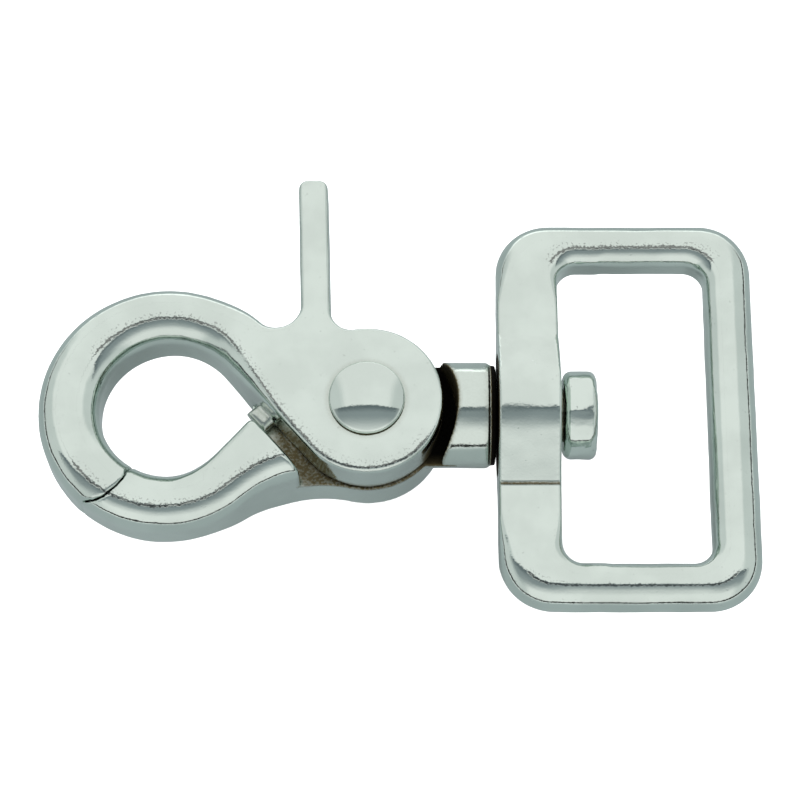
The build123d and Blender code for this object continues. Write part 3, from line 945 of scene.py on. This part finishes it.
@dataclass
class TorsionSpring:
    """The coil in the pocket between the plates, with a leg in each casting."""

    pivot_x: float = 15.65
    radius: float = 2.7
    wire_r: float = 0.35
    pitch: float = 0.8
    turns: float = 3.5
    leg_end: float = 5.0

    def tree(self) -> bpy.types.NodeTree:
        """Returns the node tree that coils the wire and adds its legs."""
        tree = bpy.data.node_groups.new("coiled_wire", "GeometryNodeTree")
        face = tree.interface
        face.new_socket("Geometry", in_out="OUTPUT", socket_type="NodeSocketGeometry")
        for name in ("Coil Radius", "Wire Radius", "Height", "Turns", "Leg End"):
            face.new_socket(name, in_out="INPUT", socket_type="NodeSocketFloat")
        face.new_socket("Finish", in_out="INPUT", socket_type="NodeSocketMaterial")
        given, out = tree.nodes.new("NodeGroupInput"), tree.nodes.new("NodeGroupOutput")
        coil = tree.nodes.new("GeometryNodeCurveSpiral")
        coil.inputs["Resolution"].default_value = 40
        tree.links.new(given.outputs["Turns"], coil.inputs["Rotations"])
        for end in ("Start Radius", "End Radius"):
            tree.links.new(given.outputs["Coil Radius"], coil.inputs[end])
        tree.links.new(given.outputs["Height"], coil.inputs["Height"])
        lower = tree.nodes.new("GeometryNodeTransform")
        half = tree.nodes.new("ShaderNodeMath")
        half.operation = "MULTIPLY"
        half.inputs[1].default_value = -0.5
        tree.links.new(given.outputs["Height"], half.inputs[0])
        shift = tree.nodes.new("ShaderNodeCombineXYZ")
        tree.links.new(half.outputs[0], shift.inputs["Z"])
        tree.links.new(coil.outputs["Curve"], lower.inputs["Geometry"])
        tree.links.new(shift.outputs[0], lower.inputs["Translation"])
        join = tree.nodes.new("GeometryNodeJoinGeometry")
        tree.links.new(lower.outputs["Geometry"], join.inputs["Geometry"])
        for sign in (1.0, -1.0):
            leg = tree.nodes.new("GeometryNodeCurvePrimitiveLine")
            height = self._scaled(tree, given.outputs["Height"], -0.5 * sign)
            for source, socket in (("Coil Radius", "Start"), ("Leg End", "End")):
                place = tree.nodes.new("ShaderNodeCombineXYZ")
                tree.links.new(self._scaled(tree, given.outputs[source], sign), place.inputs["X"])
                tree.links.new(height, place.inputs["Z"])
                tree.links.new(place.outputs[0], leg.inputs[socket])
            tree.links.new(leg.outputs["Curve"], join.inputs["Geometry"])
        ring = tree.nodes.new("GeometryNodeCurvePrimitiveCircle")
        ring.inputs["Resolution"].default_value = 14
        tree.links.new(given.outputs["Wire Radius"], ring.inputs["Radius"])
        tube = tree.nodes.new("GeometryNodeCurveToMesh")
        tube.inputs["Fill Caps"].default_value = True
        tree.links.new(join.outputs["Geometry"], tube.inputs["Curve"])
        tree.links.new(ring.outputs["Curve"], tube.inputs["Profile Curve"])
        real = tree.nodes.new("GeometryNodeRealizeInstances")
        finish = tree.nodes.new("GeometryNodeSetMaterial")
        tree.links.new(tube.outputs["Mesh"], real.inputs["Geometry"])
        tree.links.new(real.outputs["Geometry"], finish.inputs["Geometry"])
        tree.links.new(given.outputs["Finish"], finish.inputs["Material"])
        tree.links.new(finish.outputs["Geometry"], out.inputs["Geometry"])
        return tree

    @staticmethod
    def _scaled(
        tree: bpy.types.NodeTree, source: bpy.types.NodeSocket, factor: float
    ) -> bpy.types.NodeSocket:
        """Returns a socket's value times a factor."""
        node = tree.nodes.new("ShaderNodeMath")
        node.operation = "MULTIPLY"
        node.inputs[1].default_value = factor
        tree.links.new(source, node.inputs[0])
        return node.outputs[0]

    def build(self) -> bpy.types.Object:
        """Makes the piece and puts it on the hook body."""
        sizes = {
            "Coil Radius": self.radius * MM,
            "Wire Radius": self.wire_r * MM,
            "Height": self.pitch * self.turns * MM,
            "Turns": self.turns,
            "Leg End": self.leg_end * MM,
            "Finish": WIRE_FINISH.material(),
        }
        holder = bpy.data.objects.new("coil", bpy.data.meshes.new("coil"))
        bpy.context.scene.collection.objects.link(holder)
        modifier = holder.modifiers.new("coil", "NODES")
        tree = self.tree()
        modifier.node_group = tree
        for item in tree.interface.items_tree:
            if item.in_out == "INPUT" and item.name in sizes:
                modifier[item.identifier] = sizes[item.name]
        graph = bpy.context.evaluated_depsgraph_get()
        mesh = bpy.data.meshes.new_from_object(holder.evaluated_get(graph))
        bpy.data.objects.remove(holder)
        for vertex in mesh.vertices:
            vertex.co.x += self.pivot_x * MM
        mesh.shade_smooth()
        obj = bpy.data.objects.new("torsion_spring_wire", mesh)
        bpy.context.scene.collection.objects.link(obj)
        return settle(obj, Body.HOOK, "torsion_spring", WIRE_FINISH)


# ---------------------------------------------------------------- studio


@dataclass
class Studio:
    """Floor, soft tent light and camera."""

    floor_z: float = -24.0
    target: tuple[float, float, float] = (18.26, 1.32, 0.0)
    distance: float = 222.24
    tilt: float = 20.0
    half_view: float = 400 / 2778
    bright: float = 1.0
    card_edge: tuple[float, float, float] = (0.14, 0.17, 0.185)
    card: tuple[float, float, float] = (0.31, 0.35, 0.37)
    # Floor colours painted for what metal mirrors, darkest near the object as painted shade.
    below: tuple[float, float, float] = (0.215, 0.24, 0.245)
    far_floor: tuple[float, float, float] = (0.55, 0.56, 0.56)

    def build(self) -> None:
        """Makes everything round the object."""
        bpy.context.scene.view_settings.view_transform = "Standard"
        self.camera()
        self.floor()
        self.tent()
        lamp_data = bpy.data.lights.new("overhead", "AREA")
        lamp_data.shape, lamp_data.size, lamp_data.energy = "SQUARE", 0.9, 13.0
        lamp = bpy.data.objects.new("overhead", lamp_data)
        lamp.location = (0.02, 0.0, 0.8)
        lamp.visible_glossy = False
        bpy.context.scene.collection.objects.link(lamp)

    def camera(self) -> None:
        """Puts the camera above the object, tilted towards the front."""
        data = bpy.data.cameras.new("camera")
        data.angle = 2 * math.atan(self.half_view)
        data.clip_start = 0.01
        cam = bpy.data.objects.new("camera", data)
        tilt = math.radians(self.tilt)
        cam.location = (
            self.target[0] * MM,
            (self.target[1] - self.distance * math.sin(tilt)) * MM,
            (self.target[2] + self.distance * math.cos(tilt)) * MM,
        )
        cam.rotation_euler = (tilt, 0, 0)
        bpy.context.scene.collection.objects.link(cam)
        bpy.context.scene.camera = cam

    def floor(self) -> None:
        """Makes the pale floor, which shows in metal as a painted darker reflection colour, with
        painted shade near the object.
        """
        mesh = bpy.data.meshes.new("floor")
        side, z = 0.7, self.floor_z * MM
        mesh.from_pydata([(-side, -side, z), (side, -side, z), (side, side, z), (-side, side, z)],
                         [], [(0, 1, 2, 3)])
        floor = bpy.data.objects.new("floor", mesh)
        bpy.context.scene.collection.objects.link(floor)
        made = bpy.data.materials.new("floor")
        made.use_nodes = True
        tree = made.node_tree
        tree.nodes.clear()
        graph = Graph(tree)
        pale = tree.nodes.new("ShaderNodeBsdfDiffuse")
        pale.inputs["Color"].default_value = (0.95, 0.95, 0.95, 1)
        mirrored = tree.nodes.new("ShaderNodeBsdfDiffuse")
        place = tree.nodes.new("ShaderNodeTexCoord").outputs["Object"]
        parts = tree.nodes.new("ShaderNodeSeparateXYZ")
        graph.put(place, parts.inputs[0])
        length = tree.nodes.new("ShaderNodeVectorMath")
        length.operation = "LENGTH"
        graph.put(place, length.inputs[0])
        # Painted reflection colour: painted shade near the object, lighter far off and behind it.
        distant = graph.step(length.outputs["Value"], 0.09, 0.55)
        colour = graph.mix(self.below, self.far_floor, distant)
        across = graph.math("MULTIPLY", graph.math("ABSOLUTE", parts.outputs["X"]), 0.8)
        behind = graph.math("SUBTRACT", parts.outputs["Y"], across)
        colour = graph.mix(colour, (0.8, 0.8, 0.8), graph.step(behind, 0.07, 0.20))
        graph.put(colour, mirrored.inputs["Color"])
        path = tree.nodes.new("ShaderNodeLightPath")
        mix = tree.nodes.new("ShaderNodeMixShader")
        graph.put(path.outputs["Is Glossy Ray"], mix.inputs["Fac"])
        graph.put(pale.outputs[0], mix.inputs[1])
        graph.put(mirrored.outputs[0], mix.inputs[2])
        out = tree.nodes.new("ShaderNodeOutputMaterial")
        graph.put(mix.outputs[0], out.inputs["Surface"])
        mesh.materials.append(made)

    def tent(self) -> None:
        """Lights the scene from a white tent with a grey card round the lens."""
        world = bpy.data.worlds.new("tent")
        bpy.context.scene.world = world
        world.use_nodes = True
        graph = Graph(world.node_tree)
        ground = world.node_tree.nodes["Background"]
        place = world.node_tree.nodes.new("ShaderNodeTexCoord")
        parts = world.node_tree.nodes.new("ShaderNodeSeparateXYZ")
        graph.put(place.outputs["Generated"], parts.inputs[0])
        x, y, z = parts.outputs
        to_degrees = math.degrees(1)
        forward = graph.math("MULTIPLY", graph.math("ARCTAN2", graph.math("MULTIPLY", y, -1.0), z),
                             to_degrees)
        aside = graph.math("MULTIPLY", graph.math("ABSOLUTE", graph.math("ARCSINE", x)), to_degrees)
        height = graph.math("MULTIPLY", graph.math("ARCSINE", z), to_degrees)
        band = graph.math("MULTIPLY", graph.step(forward, -1, 2), graph.fall(forward, 16, 57))
        band = graph.math("MULTIPLY", band, graph.fall(aside, 46, 66))
        seam = graph.step(aside, 32, 46)
        horizon = graph.math("MULTIPLY", graph.step(height, -7, -2), graph.fall(height, 3, 6))
        horizon = graph.math("MULTIPLY", horizon, graph.fall(y, 0.5, 0.8))
        colour = graph.mix((self.bright,) * 3, (0.74, 0.77, 0.77), seam)
        card = graph.mix(self.card_edge, self.card, graph.step(forward, 1, 14))
        colour = graph.mix(colour, card, band)
        colour = graph.mix(colour, (0.02, 0.02, 0.02), horizon)
        graph.put(colour, ground.inputs["Color"])
        ground.inputs["Strength"].default_value = 1.0


def main() -> None:
    """Builds the pieces in order and writes how large they came out."""
    logging.basicConfig(level=logging.INFO, format="%(message)s")
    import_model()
    step = 0.15
    HookBody().build(step)
    TriggerJaw().build(step)
    PivotRivet().build(step)
    SwivelPin().build(step)
    TorsionSpring().build()
    StrapLoop().build(step)
    Studio().build()


if __name__ == "__main__":
    main()
